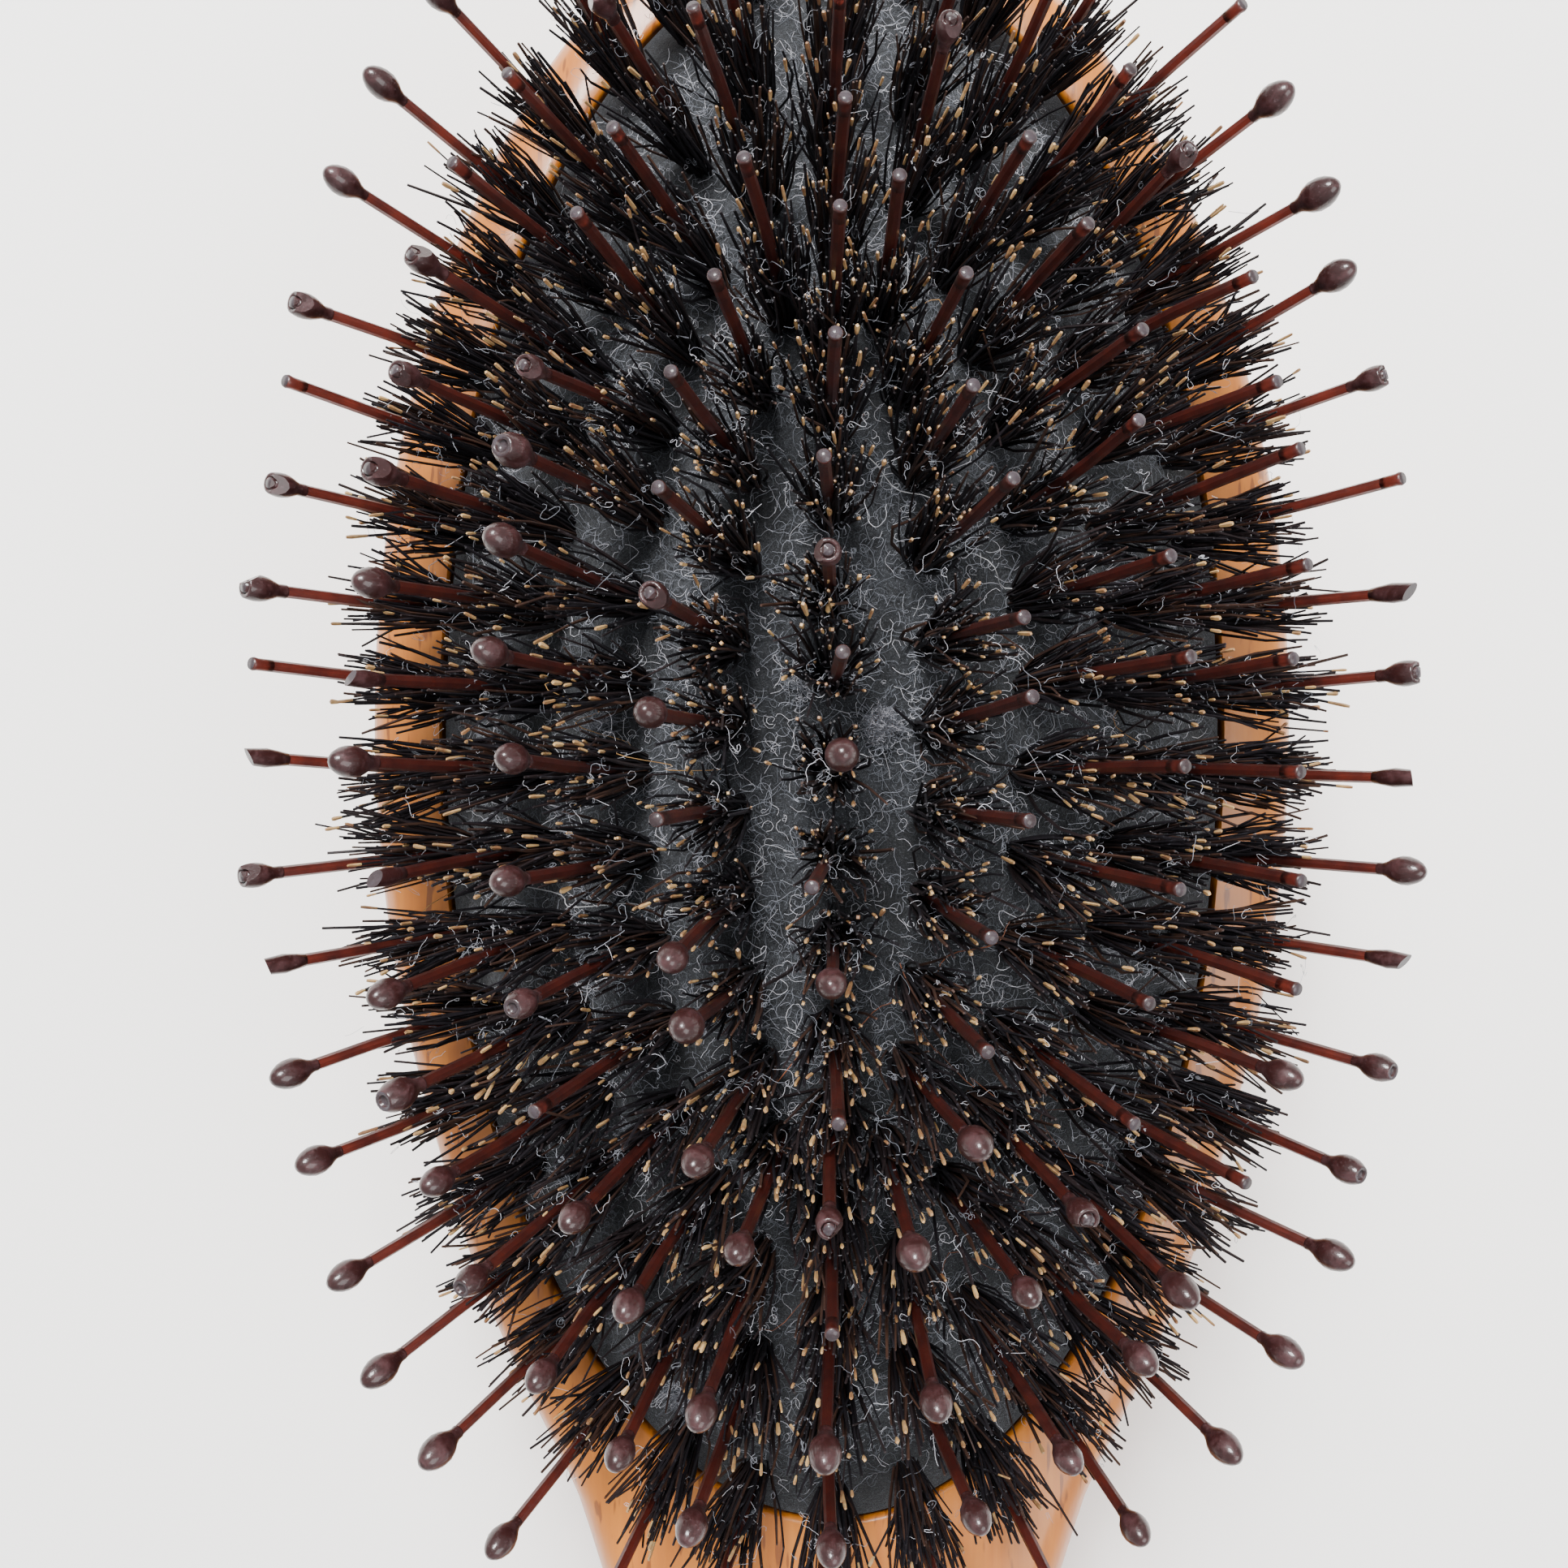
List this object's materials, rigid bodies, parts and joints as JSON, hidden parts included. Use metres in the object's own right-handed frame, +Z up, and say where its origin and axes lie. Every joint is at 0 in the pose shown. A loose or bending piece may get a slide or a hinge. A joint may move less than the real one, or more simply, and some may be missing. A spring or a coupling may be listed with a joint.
{
  "type": "cushion hairbrush",
  "caption": "Oval wooden cushion hairbrush: air-filled rubber cushion with rows of bristle tufts, each with a ball-tipped nylon pin.",
  "frame": {"origin": "under the middle of the whole brush, on the surface that its back lies on", "axes": "+Z up out of the bristles, -Y towards the handle, +X to the right with the handle towards the viewer"},
  "size_m": [0.0666, 0.218, 0.0435],
  "materials": {
    "beech": "satin lacquer",
    "rubber": "matte",
    "bristle": "natural bristle",
    "nylon": "translucent nylon"
  },
  "bodies": {
    "body": {"wood_body": "beech", "rubber_cushion": "rubber"},
    "centre_row": {"centre_row_bristles_1": "bristle", "centre_row_pins_1": "nylon"},
    "inner_ring": {"inner_ring_bristles_1": "bristle", "inner_ring_bristles_2": "bristle", "inner_ring_bristles_3": "bristle", "inner_ring_pins_1": "nylon", "inner_ring_pins_2": "nylon", "inner_ring_pins_3": "nylon"},
    "middle_ring": {"middle_ring_bristles_1": "bristle", "middle_ring_bristles_2": "bristle", "middle_ring_bristles_3": "bristle", "middle_ring_bristles_4": "bristle", "middle_ring_pins_1": "nylon", "middle_ring_pins_2": "nylon", "middle_ring_pins_3": "nylon", "middle_ring_pins_4": "nylon"},
    "wide_ring": {"wide_ring_bristles_1": "bristle", "wide_ring_bristles_2": "bristle", "wide_ring_bristles_3": "bristle", "wide_ring_bristles_4": "bristle", "wide_ring_bristles_5": "bristle", "wide_ring_pins_1": "nylon", "wide_ring_pins_2": "nylon", "wide_ring_pins_3": "nylon", "wide_ring_pins_4": "nylon", "wide_ring_pins_5": "nylon"},
    "outer_ring": {"outer_ring_bristles_1": "bristle", "outer_ring_bristles_2": "bristle", "outer_ring_bristles_3": "bristle", "outer_ring_bristles_4": "bristle", "outer_ring_bristles_5": "bristle", "outer_ring_bristles_6": "bristle", "outer_ring_pins_1": "nylon", "outer_ring_pins_2": "nylon", "outer_ring_pins_3": "nylon", "outer_ring_pins_4": "nylon", "outer_ring_pins_5": "nylon", "outer_ring_pins_6": "nylon"}
  },
  "joints": [
    {"name": "cushion_press", "type": "slide", "parent": "body", "child": "centre_row", "axis": [0, 0, -1], "range_m": [0, 0.004], "stiffness_N_per_m": 2500, "deforming": ["rubber_cushion"]},
    {"name": "inner_ring_sink", "type": "slide", "parent": "body", "child": "inner_ring", "axis": [0, 0, -1], "range_m": [0, 0.00353], "stiffness_N_per_m": 300},
    {"name": "middle_ring_sink", "type": "slide", "parent": "body", "child": "middle_ring", "axis": [0, 0, -1], "range_m": [0, 0.0029], "stiffness_N_per_m": 300},
    {"name": "wide_ring_sink", "type": "slide", "parent": "body", "child": "wide_ring", "axis": [0, 0, -1], "range_m": [0, 0.002], "stiffness_N_per_m": 300},
    {"name": "outer_ring_sink", "type": "slide", "parent": "body", "child": "outer_ring", "axis": [0, 0, -1], "range_m": [0, 0.000608], "stiffness_N_per_m": 300}
  ],
  "couplings": [
    {"joint": "inner_ring_sink", "follows": "cushion_press", "ratio": 0.878},
    {"joint": "middle_ring_sink", "follows": "cushion_press", "ratio": 0.721},
    {"joint": "wide_ring_sink", "follows": "cushion_press", "ratio": 0.494},
    {"joint": "outer_ring_sink", "follows": "cushion_press", "ratio": 0.147}
  ]
}
